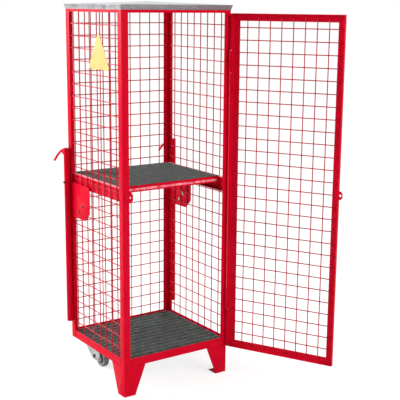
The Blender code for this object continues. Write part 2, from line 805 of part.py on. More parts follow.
def make_fork(name, x, cage):
    """Raked castor fork: a channel open downwards, hung under the rear base rail."""
    half_gap = WHEEL_W / 2 + WHEEL_SIDE_GAP
    half_outer = half_gap + FORK_PLATE
    top_z = BASE_Z - SEAM
    points = circle((AXLE_Y, WHEEL_R), FORK_NOSE_R, FORK_NOSE_STEPS)
    front_y = AXLE_Y + FORK_LAG
    rear_y = HALF_D - FORK_REAR_INSET
    points += [(front_y, top_z), (rear_y, top_z), (rear_y, BASE_Z - FORK_HEEL_DROP)]
    points.append((AXLE_Y + FORK_TOE_LAG, BASE_Z - FORK_TOE_DROP))
    outline = [points[i] for i in convex_hull_2d([Vector(point) for point in points])]
    hole = circle((AXLE_Y, WHEEL_R), AXLE_R + AXLE_PLAY, AXLE_STEPS)
    bm = prism_bmesh(outline, "yz", -half_outer, half_outer, [hole])
    fork = make_object(name, bm, "galvanised", cage, (x, 0.0, 0.0))
    bm = box_bmesh((-half_gap, AXLE_Y - 2 * WHEEL_R, -WHEEL_R),
                   (half_gap, rear_y + WHEEL_R, top_z - FORK_PLATE))
    cutter = make_object(f"{name}_channel_cutter", bm, "galvanised", cage, (x, 0.0, 0.0))
    cutter.hide_render = True
    cutter.display_type = "WIRE"
    channel = fork.modifiers.new("channel", "BOOLEAN")
    channel.operation = "DIFFERENCE"
    channel.solver = "EXACT"
    channel.object = cutter


def make_castors(cage):
    """Two fixed castors under the back of the floor."""
    half = WHEEL_W / 2
    tread_r = WHEEL_R / math.cos(math.pi / WHEEL_STEPS)
    seat_r = WHEEL_R - TYRE_DEPTH
    bore_r = AXLE_R + AXLE_PLAY
    tyre = [(-half, seat_r + SEAM), (-half, tread_r - TYRE_ROUND), (TYRE_ROUND - half, tread_r),
            (half - TYRE_ROUND, tread_r), (half, tread_r - TYRE_ROUND), (half, seat_r + SEAM)]
    hub_half = half + WHEEL_SIDE_GAP - AXLE_PLAY
    rim_half = half - RIM_INSET
    hub = [(-hub_half, bore_r), (-hub_half, HUB_R), (-HUB_WEB / 2, HUB_R), (-rim_half, seat_r),
           (rim_half, seat_r), (HUB_WEB / 2, HUB_R), (hub_half, HUB_R), (hub_half, bore_r)]
    shank = half + WHEEL_SIDE_GAP + FORK_PLATE + AXLE_PLAY
    tip = shank + AXLE_HEAD_H
    axle = [(-tip, 0.0), (-tip, AXLE_HEAD_R), (-shank, AXLE_HEAD_R), (-shank, AXLE_R),
            (shank, AXLE_R), (shank, AXLE_HEAD_R), (tip, AXLE_HEAD_R), (tip, 0.0)]
    pieces = (("tyre", tyre, WHEEL_STEPS, "wheel_tyre"), ("hub", hub, WHEEL_STEPS, "wheel_hub"),
              ("axle", axle, AXLE_STEPS, "zinc_bolt"))
    for side in (-1, 1):
        name = side_name(side)
        x = side * (HALF_W - CASTOR_INSET)
        make_fork(f"{name}_castor_fork", x, cage)
        for piece, profile, steps, slot in pieces:
            bm = lathe_bmesh(profile, steps)
            make_object(f"{name}_castor_{piece}", bm, slot, cage, (x, AXLE_Y, WHEEL_R), smooth=True)


def main():
    clear_scene()
    cage = make_empty("cage", CAGE_CENTRE)
    hinge = make_empty("door_hinge_line", (HINGE_X, HINGE_Y, 0.0), cage)
    hinge.rotation_euler.z = math.radians(DOOR_OPEN_DEG)
    make_posts(cage)
    make_ring(cage, "base", BASE_Z, BASE_RAIL_H, BASE_RAIL_FLANGE, 1)
    make_ring(cage, "top", FRAME_TOP_Z - TOP_RAIL_H, TOP_RAIL_H, TOP_RAIL_FLANGE, -1)
    make_roof(cage)
    make_cage_mesh(cage)
    make_floor(cage)
    make_shelf(cage)
    make_side_plates(cage)
    make_feet(cage)
    make_castors(cage)
    make_handles(cage)
    make_lock_tab(cage)
    make_hinges(cage, hinge)
    make_door(hinge)
    make_door_lug(hinge)
    bpy.context.view_layer.update()


main()
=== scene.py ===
import json
import math
import random

import bmesh
import bpy
from mathutils import Matrix, Vector


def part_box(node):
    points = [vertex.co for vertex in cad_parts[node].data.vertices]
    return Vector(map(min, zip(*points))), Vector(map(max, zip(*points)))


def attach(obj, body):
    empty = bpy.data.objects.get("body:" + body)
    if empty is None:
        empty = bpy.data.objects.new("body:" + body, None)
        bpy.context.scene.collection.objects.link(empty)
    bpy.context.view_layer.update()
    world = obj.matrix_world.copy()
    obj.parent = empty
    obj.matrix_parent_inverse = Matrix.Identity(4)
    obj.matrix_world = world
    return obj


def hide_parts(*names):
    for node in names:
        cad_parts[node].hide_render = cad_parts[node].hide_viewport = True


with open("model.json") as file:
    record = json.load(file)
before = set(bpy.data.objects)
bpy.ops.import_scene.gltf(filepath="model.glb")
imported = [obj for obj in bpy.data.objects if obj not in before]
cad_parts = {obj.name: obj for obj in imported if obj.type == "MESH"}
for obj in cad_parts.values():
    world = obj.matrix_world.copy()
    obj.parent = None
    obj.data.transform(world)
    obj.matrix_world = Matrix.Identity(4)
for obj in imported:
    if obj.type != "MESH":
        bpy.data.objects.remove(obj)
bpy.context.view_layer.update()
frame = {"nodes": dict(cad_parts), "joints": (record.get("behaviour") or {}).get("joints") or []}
random.seed(11)

# Sizes in metres, in the frame that the CAD shares

WALL = 0.003             # thickness of the angle iron
LEG = 0.030              # leg of a post's angle
ROOT = 0.0028            # fillet inside an angle
TIGHT_ROOT = 0.0002      # the same where something sits in the angle

PITCH = 0.050            # welded mesh, both ways
ROWS = 27                # level wires in each panel
FIRST_CAGE_ROW = 0.2016  # height of the lowest one
FIRST_DOOR_ROW = 0.1928
WIRE_R = 0.00215         # radius of a wire
WIRE_SET_DOWN = 0.0031   # how far the level wires are pressed into the upright ones
WIRE_STRAY = 0.0004      # how far a wire may lie off its pitch

GRATING_BAR = 0.0025     # thickness of a grating's deep bars and of its edge strip
CROSS_PITCH = 0.0111     # spacing of the shallow bars
CROSS_HALF = 0.0009      # half their thickness
CROSS_DEPTH = 0.009      # from the deep bars' tops to their undersides
CROSS_DROP = 0.0003      # from the deep bars' tops to their own tops

BARREL_GAP = 0.0012      # between a hinge barrel and the lip that ends beside it

# Rounding of cut edges
PLATE_EDGE = 0.0006
FOOT_EDGE = 0.0011
FORK_EDGE = 0.0008
BARREL_EDGE = 0.0004

# Radii of weld beads, and the length of one ripple
MITRE_BEAD = 0.0012
TAB_BEAD = 0.0014
RAIL_BEAD = 0.0016
PLATE_BEAD = 0.0017
SEAM_BEAD = 0.0018
TUBE_BEAD = 0.0020
BEAD_STEP = 0.0028

# Bolts: head radius, head height, washer radius
PLATE_BOLT = (0.0040, 0.0028, 0.0056)
PLATE_NUT = (0.0048, 0.0034, 0.0072)
TUBE_BOLT = (0.0055, 0.0042, 0.0050)
FORK_BOLT = (0.0065, 0.0046, 0.0090)
AXLE_HEAD = (0.0075, 0.0045, 0.0084)
AXLE_NUT = (0.0075, 0.0042, 0.0084)

nodes = frame["nodes"]
cage_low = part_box("front_left_post")[0]
cage_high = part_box("rear_right_post")[1]
MIDDLE = (cage_low + cage_high) / 2

# The door's own frame: hinge line at the origin, as if the door were shut
HINGE = Vector(frame["joints"][0]["pos_m"])
LEAF_OPEN = math.radians(-frame["joints"][0]["range_deg"][0])
leaf = Matrix.Translation((HINGE.x, HINGE.y, 0)) @ Matrix.Rotation(LEAF_OPEN, 4, "Z")


# Node helpers

def shader_tree(name):
    """A new material with its node tree and main shader."""
    material = bpy.data.materials.new(name)
    material.use_nodes = True
    tree = material.node_tree
    return material, tree, tree.nodes["Principled BSDF"]


def add(tree, kind, inputs=None, **settings):
    """A new node; each input is a socket to link or a plain value."""
    node = tree.nodes.new(kind)
    for key, value in settings.items():
        setattr(node, key, value)
    for key, value in (inputs or {}).items():
        if isinstance(value, bpy.types.NodeSocket):
            tree.links.new(value, node.inputs[key])
        else:
            node.inputs[key].default_value = value
    return node


def noise(tree, scale, detail=3.0, stretch=None):
    """Noise in object space, which is the shared frame in metres."""
    place = add(tree, "ShaderNodeTexCoord").outputs["Object"]
    if stretch:
        mapping = {"Vector": place, "Scale": stretch}
        place = add(tree, "ShaderNodeMapping", mapping).outputs[0]
    inputs = {"Vector": place, "Scale": scale, "Detail": detail, "Roughness": 0.55}
    return add(tree, "ShaderNodeTexNoise", inputs).outputs["Fac"]


def ramp(tree, value, low, high, to_low=0.0, to_high=1.0):
    """Value from low..high spread over to_low..to_high, and held outside."""
    inputs = {"Value": value, "From Min": low, "From Max": high,
              "To Min": to_low, "To Max": to_high}
    return add(tree, "ShaderNodeMapRange", inputs).outputs["Result"]


def times(tree, a, b):
    return add(tree, "ShaderNodeMath", {0: a, 1: b}, operation="MULTIPLY").outputs[0]


def rgba(colour):
    """Red, green and blue as a full colour; a socket stays as it is."""
    return (*colour, 1) if isinstance(colour, tuple) else colour


def mix(tree, factor, a, b):
    """Blend of two colours, each a socket or its red, green and blue."""
    inputs = {0: factor, 6: rgba(a), 7: rgba(b)}
    return add(tree, "ShaderNodeMix", inputs, data_type="RGBA").outputs[2]


def worn_edges(tree, radius):
    """1 on sharp edges and 0 on flats, from a rounded normal."""
    bevel = add(tree, "ShaderNodeBevel", {"Radius": radius}, samples=4).outputs[0]
    normal = add(tree, "ShaderNodeNewGeometry").outputs["Normal"]
    dot = add(tree, "ShaderNodeVectorMath", {0: bevel, 1: normal}, operation="DOT_PRODUCT")
    return ramp(tree, dot.outputs["Value"], 0.995, 0.90)


def facing_up(tree, low, high):
    """0 to 1 as the surface's upward lean goes from low to high."""
    normal = add(tree, "ShaderNodeNewGeometry").outputs["Normal"]
    up = add(tree, "ShaderNodeSeparateXYZ", {0: normal}).outputs["Z"]
    return ramp(tree, up, low, high)


def dress(tree, shader, colour, rough, grain):
    """Link colour and roughness, and bump with a grain of scale, detail, strength and depth."""
    scale, detail, strength, depth = grain
    inputs = {"Height": noise(tree, scale, detail), "Strength": strength, "Distance": depth}
    relief = add(tree, "ShaderNodeBump", inputs).outputs["Normal"]
    tree.links.new(colour, shader.inputs["Base Color"])
    tree.links.new(rough, shader.inputs["Roughness"])
    tree.links.new(relief, shader.inputs["Normal"])


# Materials; colours are linear red, green and blue

SPECK_RED = (0.43, 0.001, 0.008)
RED_DUST = (0.52, 0.30, 0.26)
CHIPPED_RED = (0.26, 0.06, 0.06)
WEATHERED_ZINC = (0.60, 0.63, 0.61)
ZINC_STREAK = (0.24, 0.25, 0.25)


def red_paint(name, specular, chipped, depth=1.0):
    """Powder coat: orange peel, a little unevenness and dust, darker where edges are chipped."""
    material, tree, shader = shader_tree(name)
    cloud = ramp(tree, noise(tree, 7.0), 0.35, 0.65)
    deep, bright = (0.600 * depth, 0.0006, 0.0150), (0.655 * depth, 0.0010, 0.0215)
    red = mix(tree, cloud, deep, bright)
    speck = ramp(tree, noise(tree, 900.0, 1.0), 0.66, 0.74, 0.0, 0.15)
    red = mix(tree, speck, red, SPECK_RED)
    patch = ramp(tree, noise(tree, 38.0, 5.0), 0.45, 0.75, 0.0, 0.04)
    red = mix(tree, times(tree, facing_up(tree, 0.75, 1.0), patch), red, RED_DUST)
    if chipped:
        chips = ramp(tree, noise(tree, 120.0, 4.0), 0.60, 0.70)
        worn = times(tree, worn_edges(tree, 0.0012), chips)
        red = mix(tree, times(tree, worn, 0.45), red, CHIPPED_RED)
    rough = ramp(tree, noise(tree, 55.0, 4.0), 0.30, 0.70, 0.28, 0.36)
    dress(tree, shader, red, rough, (420.0, 2.0, 0.10, 0.0003))
    shader.inputs["Specular IOR Level"].default_value = specular
    return material


def galvanised(name, dark, light, spangle, bloomed, tint):
    """Hot-dip zinc: crystal patches, tinge, white bloom, dull tops and faint streaks."""
    material, tree, shader = shader_tree(name)
    place = add(tree, "ShaderNodeTexCoord").outputs["Object"]
    inputs = {"Vector": place, "Scale": spangle, "Randomness": 1.0}
    cells = add(tree, "ShaderNodeTexVoronoi", inputs)
    tone = add(tree, "ShaderNodeSeparateColor", {0: cells.outputs["Color"]}).outputs[0]
    colour = mix(tree, tone, dark, light)
    tinge = ramp(tree, noise(tree, 18.0, 2.0), 0.42, 0.62, 0.0, 0.5)
    colour = mix(tree, tinge, colour, tint)
    bloom = ramp(tree, noise(tree, 24.0, 6.0), 0.50, 0.78, 0.0, 0.45)
    colour = mix(tree, bloom, colour, bloomed)
    weathered = times(tree, facing_up(tree, 0.70, 0.98), 0.70)
    colour = mix(tree, weathered, colour, WEATHERED_ZINC)
    lines = noise(tree, 60.0, 3.0, stretch=(1.0, 1.0, 0.15))
    colour = mix(tree, ramp(tree, lines, 0.48, 0.62, 0.0, 0.16), colour, ZINC_STREAK)
    rough = ramp(tree, tone, 0.0, 1.0, 0.34, 0.52)
    dress(tree, shader, colour, rough, (300.0, 3.0, 0.15, 0.0003))
    shader.inputs["Metallic"].default_value = 0.85
    return material


def grating_steel():
    """Old zinc on the gratings: dark, dull and blotched, kept dark partly as painted shade on the
    bars' sides, and lighter on the tops, partly trodden wear and partly painted highlight.
    """
    material, tree, shader = shader_tree("grating_zinc")
    blotch = ramp(tree, noise(tree, 30.0, 6.0), 0.35, 0.68)
    # Blotched base kept dark, partly as painted shade on the bars' sides
    colour = mix(tree, blotch, (0.045, 0.075, 0.062), (0.135, 0.175, 0.155))
    tinge = ramp(tree, noise(tree, 26.0, 2.0), 0.47, 0.62, 0.0, 0.45)
    colour = mix(tree, tinge, colour, (0.120, 0.070, 0.110))
    # Up-facing tops painted lighter: partly trodden wear, partly a painted highlight on the bar
    # tops
    patch = ramp(tree, noise(tree, 80.0, 4.0), 0.42, 0.66, 0.35, 0.80)
    trodden_and_lit = times(tree, facing_up(tree, 0.80, 0.98), patch)
    colour = mix(tree, trodden_and_lit, colour, (0.40, 0.44, 0.42))
    rough = ramp(tree, blotch, 0.0, 1.0, 0.48, 0.68)
    dress(tree, shader, colour, rough, (260.0, 4.0, 0.30, 0.0004))
    shader.inputs["Metallic"].default_value = 0.55
    return material


def yellow_plate():
    """Bare plate in yellow enamel, faded in patches and rubbed at its edges."""
    material, tree, shader = shader_tree("yellow_enamel")
    fade = ramp(tree, noise(tree, 16.0, 4.0), 0.36, 0.68)
    colour = mix(tree, fade, (0.60, 0.455, 0.125), (0.69, 0.535, 0.165))
    patch = ramp(tree, noise(tree, 90.0, 4.0), 0.45, 0.60)
    worn = times(tree, worn_edges(tree, 0.0015), patch)
    colour = mix(tree, worn, colour, (0.50, 0.34, 0.06))
    rough = ramp(tree, fade, 0.0, 1.0, 0.34, 0.50)
    dress(tree, shader, colour, rough, (350.0, 2.0, 0.12, 0.0002))
    shader.inputs["Specular IOR Level"].default_value = 0.15
    return material


def mottled(name, patches, dark, light, rough, grain, metallic=0.0):
    """Two tones in patches, rougher where lighter, under a fine grain."""
    material, tree, shader = shader_tree(name)
    scale, detail, low, high = patches
    tone = ramp(tree, noise(tree, scale, detail), low, high)
    colour = mix(tree, tone, dark, light)
    dress(tree, shader, colour, ramp(tree, tone, 0.0, 1.0, *rough), grain)
    shader.inputs["Metallic"].default_value = metallic
    return material


def bolt_metal(name, dark, light):
    """Plated steel, scuffed on the flats."""
    return mottled(name, (160.0, 4.0, 0.38, 0.64), dark, light, (0.28, 0.44),
                   (600.0, 2.0, 0.12, 0.0002), 0.9)


def moulded(name, dark, light, rough):
    """Moulded plastic: fine grain and slight marbling."""
    return mottled(name, (45.0, 4.0, 0.38, 0.66), dark, light, rough,
                   (1100.0, 2.0, 0.18, 0.0002))


PAINT = red_paint("red_powder_coat", 0.05, True)
WIRE_PAINT = red_paint("red_coat_on_wire", 0.25, False, 0.80)
# Coat on the hinge rod, made 1.45 times brighter red as a painted highlight along the rod
HINGE_ROD_HIGHLIGHT_PAINT = red_paint("red_coat_on_rod_painted_highlight", 0.50, False, 1.45)
ROOF_ZINC = galvanised("roof_zinc", (0.27, 0.265, 0.28), (0.41, 0.405, 0.42), 55.0,
                       (0.47, 0.47, 0.47), (0.33, 0.30, 0.35))
FORK_ZINC = galvanised("fork_zinc", (0.36, 0.38, 0.38), (0.60, 0.62, 0.61), 130.0,
                       (0.62, 0.64, 0.63), (0.44, 0.46, 0.46))
GRATING = grating_steel()
BOLT = bolt_metal("bright_zinc", (0.40, 0.39, 0.35), (0.62, 0.61, 0.56))
DARK_BOLT = bolt_metal("black_oxide", (0.055, 0.045, 0.045), (0.125, 0.105, 0.100))
# Grey rubber with dust in it and scuffs round the tread
RUBBER = mottled("tyre_rubber", (70.0, 6.0, 0.40, 0.70), (0.180, 0.190, 0.188),
                 (0.320, 0.330, 0.325), (0.62, 0.86), (500.0, 5.0, 0.30, 0.0004))
HUB = moulded("hub_plastic", (0.27, 0.28, 0.29), (0.36, 0.37, 0.37), (0.40, 0.54))
CAP = moulded("cap_plastic", (0.035, 0.022, 0.022), (0.060, 0.040, 0.040), (0.45, 0.59))
YELLOW = yellow_plate()
# Red coat painted pale pink: a painted highlight on the bands along the shelf's edges
HIGHLIGHT_COAT = mottled("pale_coat_painted_highlight", (34.0, 4.0, 0.36, 0.56), (0.78, 0.060, 0.110),
                 (0.93, 0.370, 0.420), (0.30, 0.46), (300.0, 3.0, 0.15, 0.0003))


# Shapes

def place(axis, a, b, along):
    """Point from two outline coordinates and the one along the run."""
    if axis == "x":
        return Vector((along, a, b))
    if axis == "y":
        return Vector((a, along, b))
    return Vector((a, b, along))


def rounded(corners, steps=4):
    """Outline of (a, b, radius) corners with each corner turned into an arc."""
    outline = []
    count = len(corners)
    for i, (a, b, radius) in enumerate(corners):
        spot = Vector((a, b))
        if radius == 0:
            outline.append(spot)
            continue
        way_in = (spot - Vector(corners[i - 1][:2])).normalized()
        way_out = (Vector(corners[(i + 1) % count][:2]) - spot).normalized()
        turn = math.atan2(way_in.x * way_out.y - way_in.y * way_out.x, way_in.dot(way_out))
        start = spot - way_in * radius * math.tan(abs(turn) / 2)
        side = math.copysign(1.0, turn)
        arm = Vector((way_in.y, -way_in.x)) * side * radius
        centre = start - arm
        for k in range(steps + 1):
            outline.append(centre + Matrix.Rotation(turn * k / steps, 2) @ arm)
    return outline


def loft(bm, rings, closed=False, capped=True):
    """Skin rings of equally many points, with caps unless the loft is closed."""
    rows = [[bm.verts.new(point) for point in ring] for ring in rings]
    pairs = list(zip(rows, rows[1:] + rows[:1])) if closed else list(zip(rows, rows[1:]))
    for row, following in pairs:
        for i in range(len(row)):
            k = (i + 1) % len(row)
            bm.faces.new((row[i], row[k], following[k], following[i]))
    if capped and not closed:
        bm.faces.new(rows[0])
        bm.faces.new(rows[-1])
    return rows


def prism(bm, outline, axis, low, high):
    """Extrude an outline between two levels along an axis."""
    loft(bm, [[place(axis, *point, level) for point in outline] for level in (low, high)])


def sweep(bm, points, radii, sides=10):
    """Round bar along a line of points; one radius, or one for each point."""
    points = [Vector(point) for point in points]
    if not isinstance(radii, (list, tuple)):
        radii = [radii] * len(points)
    way = (points[1] - points[0]).normalized()
    across = way.orthogonal().normalized()
    rings = []
    for i, point in enumerate(points):
        before = points[max(0, i - 1)]
        after = points[min(len(points) - 1, i + 1)]
        new_way = (after - before).normalized()
        across.rotate(way.rotation_difference(new_way))
        way = new_way
        up = way.cross(across)
        ring = []
        for k in range(sides):
            turn = 2 * math.pi * k / sides
            ring.append(point + (across * math.cos(turn) + up * math.sin(turn)) * radii[i])
        rings.append(ring)
    loft(bm, rings)


def turned(bm, centre, axis, profile, sides=24, closed=False):
    """Turn (along, radius) points about a line through the centre."""
    axis = Vector(axis).normalized()
    across = axis.orthogonal().normalized()
    up = axis.cross(across)
    rings = []
    for along, radius in profile:
        ring = []
        for k in range(sides):
            angle = 2 * math.pi * k / sides
            ring.append(Vector(centre) + axis * along
                        + (across * math.cos(angle) + up * math.sin(angle)) * radius)
        rings.append(ring)
    loft(bm, rings, closed)


def block(bm, low, high):
    """Flat bar between two corners."""
    xs, ys, zs = zip(low, high)
    ring = [(0, 0), (1, 0), (1, 1), (0, 1)]
    loft(bm, [[Vector((xs[i], ys[j], z)) for i, j in ring] for z in zs])


def bead(bm, start, end, radius):
    """Weld bead: a rod with ripples, half sunk in the joint."""
    start, end = Vector(start), Vector(end)
    count = 2 * max(3, int((end - start).length / BEAD_STEP))
    points = []
    radii = []
    for i in range(count + 1):
        points.append(start.lerp(end, i / count))
        swell = 1.0 if i % 2 else 0.82
        ends = 0.55 if i in (0, count) else 1.0
        radii.append(radius * swell * ends * random.uniform(0.92, 1.05))
    sweep(bm, points, radii, 8)


def upright_bead(bm, x, y, low, high, radius):
    bead(bm, (x, y, low), (x, y, high), radius)


def hex_bolt(bm, centre, axis, sizes):
    """Washer, hexagon head and its chamfer, seated at the centre point."""
    size, height, washer = sizes
    turned(bm, centre, axis, [(0.0, washer), (0.0010, washer), (0.0014, washer - 0.0005)], 28)
    turned(bm, centre, axis, [(0.0012, size), (height, size), (height + 0.0007, size * 0.86)], 6)
    turned(bm, centre, axis, [(height, size * 0.80), (height + 0.0009, size * 0.72)], 24)


def piece(name, bm, finish, body, replaces=(), bevel=0.0, matrix=None, sharp=34.0):
    """Turn a bmesh into a finished piece that rides on a body."""
    bmesh.ops.remove_doubles(bm, verts=bm.verts, dist=2e-6)
    bmesh.ops.recalc_face_normals(bm, faces=bm.faces)
    if matrix:
        bmesh.ops.transform(bm, matrix=matrix, verts=bm.verts)
    mesh = bpy.data.meshes.new(name)
    bm.to_mesh(mesh)
    bm.free()
    obj = bpy.data.objects.new(name, mesh)
    bpy.context.scene.collection.objects.link(obj)
    mesh.materials.append(finish)
    mesh.shade_smooth()
    if bevel:
        rounding = obj.modifiers.new("rounding", "BEVEL")
        rounding.width = bevel
        rounding.segments = 2
        rounding.limit_method = "ANGLE"
        rounding.angle_limit = math.radians(30)
        rounding.harden_normals = True
    else:
        mesh.set_sharp_from_angle(angle=math.radians(sharp))
    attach(obj, body)
    if replaces:
        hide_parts(*replaces)


def leaf_box(node):
    """Lowest and highest corners of a door node in the door's own frame."""
    back = leaf.inverted()
    points = [back @ vert.co for vert in nodes[node].data.vertices]
    low = Vector([min(point[i] for point in points) for i in range(3)])
    high = Vector([max(point[i] for point in points) for i in range(3)])
    return low, high


# Angle iron of the cage

def angle_corners(leg_a, leg_b, root=ROOT):
    """Rounded angle section with its heel at the origin."""
    return [
        (0, 0, 0.0009),
        (leg_a, 0, 0.0004),
        (leg_a, WALL, 0.0015),
        (WALL, WALL, root),
        (WALL, leg_b, 0.0015),
        (0, leg_b, 0.0004),
    ]


def make_angle(node, axis, side_a, side_b, root=ROOT):
    """Replace a straight angle node; the sides say in which corner its heel lies."""
    low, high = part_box(node)
    along = "xyz".index(axis)
    a, b = [i for i in range(3) if i != along]
    outline = []
    for u, v in rounded(angle_corners(high[a] - low[a], high[b] - low[b], root)):
        outline.append((low[a] + u if side_a < 0 else high[a] - u,
                        low[b] + v if side_b < 0 else high[b] - v))
    bm = bmesh.new()
    prism(bm, outline, axis, low[along], high[along])
    piece(node + "_iron", bm, PAINT, "cage", [node], sharp=50)


ANGLES = (
    ("front_left_post", "z", -1, -1),
    ("front_right_post", "z", 1, -1),
    ("rear_left_post", "z", -1, 1),
    ("rear_right_post", "z", 1, 1),
    ("front_base_rail", "x", -1, -1),
    ("rear_base_rail", "x", 1, -1),
    ("left_base_rail", "y", -1, -1),
    ("right_base_rail", "y", 1, -1),
    ("front_top_rail", "x", -1, 1),
    ("rear_top_rail", "x", 1, 1),
    ("left_top_rail", "y", -1, 1),
    ("right_top_rail", "y", 1, 1),
    ("left_shelf_runner", "y", -1, -1, TIGHT_ROOT),
    ("right_shelf_runner", "y", 1, -1, TIGHT_ROOT),
    ("shelf_front_member", "x", -1, -1, TIGHT_ROOT),
    ("shelf_rear_member", "x", 1, -1, TIGHT_ROOT),
)
for row in ANGLES:
    make_angle(*row)


# Welded wire mesh

def columns_about(middle, count):
    return [middle + (i - (count - 1) / 2) * PITCH for i in range(count)]


def wire_panel(columns, first_row, low, high, put):
    """Two layers of round wires with a weld nugget at each crossing."""
    bm = bmesh.new()
    upright_depth = WIRE_R
    level_depth = 3 * WIRE_R - WIRE_SET_DOWN
    nugget_depth = (upright_depth + level_depth) / 2
    rows = [first_row + i * PITCH for i in range(ROWS)]
    spots_u = [u + random.uniform(-WIRE_STRAY, WIRE_STRAY) for u in columns]
    spots_v = [v + random.uniform(-WIRE_STRAY, WIRE_STRAY) for v in rows]
    for u in spots_u:
        sweep(bm, [put(u, low[1], upright_depth), put(u, high[1], upright_depth)], WIRE_R)
    for v in spots_v:
        sweep(bm, [put(low[0], v, level_depth), put(high[0], v, level_depth)], WIRE_R)
    for u in spots_u:
        for v in spots_v:
            size = WIRE_R * random.uniform(1.15, 1.35)
            depths = (nugget_depth - WIRE_R, nugget_depth, nugget_depth + WIRE_R)
            points = [put(u, v, depth) for depth in depths]
            sweep(bm, points, [size * 0.45, size, size * 0.45], 8)
    return bm


def make_wires():
    """Panels of the left side, the right side, the back and the door."""
    for side in ("left", "right"):
        low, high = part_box(side + "_mesh")
        face, way = (low.x, 1) if side == "left" else (high.x, -1)
        bm = wire_panel(columns_about(MIDDLE.y, 8), FIRST_CAGE_ROW,
                        (low.y, low.z), (high.y, high.z),
                        lambda u, v, depth: Vector((face + way * depth, u, v)))
        piece(side + "_wires", bm, WIRE_PAINT, "cage", [side + "_mesh"])

    low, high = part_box("back_mesh")
    bm = wire_panel(columns_about(MIDDLE.x, 9), FIRST_CAGE_ROW,
                    (low.x, low.z), (high.x, high.z),
                    lambda u, v, depth: Vector((u, high.y - depth, v)))
    piece("back_wires", bm, WIRE_PAINT, "cage", ["back_mesh"])

    low, high = leaf_box("door_mesh")
    bm = wire_panel(columns_about((low.x + high.x) / 2, 8), FIRST_DOOR_ROW,
                    (low.x, low.z), (high.x, high.z),
                    lambda u, v, depth: Vector((u, low.y + depth, v)))
    piece("door_wires", bm, WIRE_PAINT, "door", ["door_mesh"], matrix=leaf)


make_wires()


# Gratings

def make_grating(node, bars):
    """Deep bars from side to side, shallow ones across them, and an edge strip."""
    low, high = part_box(node)
    bm = bmesh.new()
    for x in (low.x, high.x - GRATING_BAR):
        block(bm, (x, low.y, low.z), (x + GRATING_BAR, high.y, high.z))
    for y in (low.y, high.y - GRATING_BAR):
        block(bm, (low.x, y, low.z), (high.x, y + GRATING_BAR, high.z))
    step = (high.y - low.y - GRATING_BAR) / (bars + 1)
    for i in range(1, bars + 1):
        y = low.y + i * step
        block(bm, (low.x, y, low.z), (high.x, y + GRATING_BAR, high.z))
    count = int((high.x - low.x) / CROSS_PITCH)
    for i in range(1, count):
        x = low.x + (high.x - low.x) * i / count
        block(bm, (x - CROSS_HALF, low.y, high.z - CROSS_DEPTH),
              (x + CROSS_HALF, high.y, high.z - CROSS_DROP))
    piece(node + "_bars", bm, GRATING, "cage", [node])


make_grating("floor_grating", 12)
make_grating("shelf_grating", 11)


# Roof

def ring_of(half_x, half_y, z):
    """Rounded rectangle round the cage's middle at one level."""
    fold = 0.004
    corners = [(-half_x, -half_y, fold), (half_x, -half_y, fold),
               (half_x, half_y, fold), (-half_x, half_y, fold)]
    return [Vector((MIDDLE.x + a, MIDDLE.y + b, z)) for a, b in rounded(corners)]


def make_roof():
    """Folded tray: hemmed skirt that leans in towards its foot, rounded fold and a low peak."""
    low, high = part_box("roof_tray")
    half_x, half_y = (high.x - low.x) / 2, (high.y - low.y) / 2
    edge = low.z + 0.0205
    flare, sheet, inside = 0.005, 0.0015, 0.0092
    levels = [
        (inside, low.z + 0.0035),
        (flare + 0.0018, low.z + 0.0006),
        (flare + 0.0010, low.z),
        (flare, low.z + 0.0003),
        (flare - 0.0004, low.z + 0.0030),
        (0.0011, edge - 0.0048),
        (0.0003, edge - 0.0024),
        (0.0002, edge - 0.0012),
        (0.0008, edge - 0.0003),
        (0.0024, edge + 0.0001),
    ]
    bm = bmesh.new()
    rings = [ring_of(half_x - inset, half_y - inset, z) for inset, z in levels]
    skin = loft(bm, rings, capped=False)
    peak = bm.verts.new((MIDDLE.x, MIDDLE.y, high.z))
    for i, vert in enumerate(skin[-1]):
        bm.faces.new((vert, skin[-1][(i + 1) % len(skin[-1])], peak))
    deep = ring_of(half_x - inside, half_y - inside, edge - sheet)
    under = [bm.verts.new(point) for point in deep]
    peak_under = bm.verts.new((MIDDLE.x, MIDDLE.y, high.z - sheet))
    for i, vert in enumerate(under):
        k = (i + 1) % len(under)
        bm.faces.new((vert, under[k], peak_under))
        bm.faces.new((vert, under[k], skin[0][k], skin[0][i]))
    piece("roof_sheet", bm, ROOF_ZINC, "cage", ["roof_tray"], sharp=24)


make_roof()


# Folded and cut plates: the CAD shape with its edges broken

def broken_edges(node, width, body="cage", finish=PAINT, slot="red_paint"):
    """A copy of a CAD node with rolled edges, in place of the node."""
    bm = bmesh.new()
    bm.from_mesh(nodes[node].data)
    bmesh.ops.remove_doubles(bm, verts=bm.verts, dist=1e-5)
    bmesh.ops.dissolve_limit(bm, angle_limit=math.radians(1), verts=bm.verts, edges=bm.edges)
    piece(node + "_plate", bm, finish, body, [node], bevel=width)


PLATES = (
    ("left_side_plate", PLATE_EDGE),
    ("right_side_plate", PLATE_EDGE),
    ("lock_tab", PLATE_EDGE),
    ("left_handle_gusset", PLATE_EDGE),
    ("right_handle_gusset", PLATE_EDGE),
    ("shelf_left_member", PLATE_EDGE),
    ("shelf_right_member", PLATE_EDGE),
    ("front_left_foot", FOOT_EDGE),
    ("front_right_foot", FOOT_EDGE),
    ("door_lock_lug", PLATE_EDGE, "door"),
    ("left_castor_fork", FORK_EDGE, "cage", FORK_ZINC, "galvanised"),
    ("right_castor_fork", FORK_EDGE, "cage", FORK_ZINC, "galvanised"),
    ("lower_hinge_post_barrel", BARREL_EDGE),
    ("lower_hinge_door_barrel", BARREL_EDGE, "door"),
    ("upper_hinge_post_barrel", BARREL_EDGE),
    ("upper_hinge_door_barrel", BARREL_EDGE, "door"),
)
for row in PLATES:
    broken_edges(*row)


# Door leaf of mitred angle

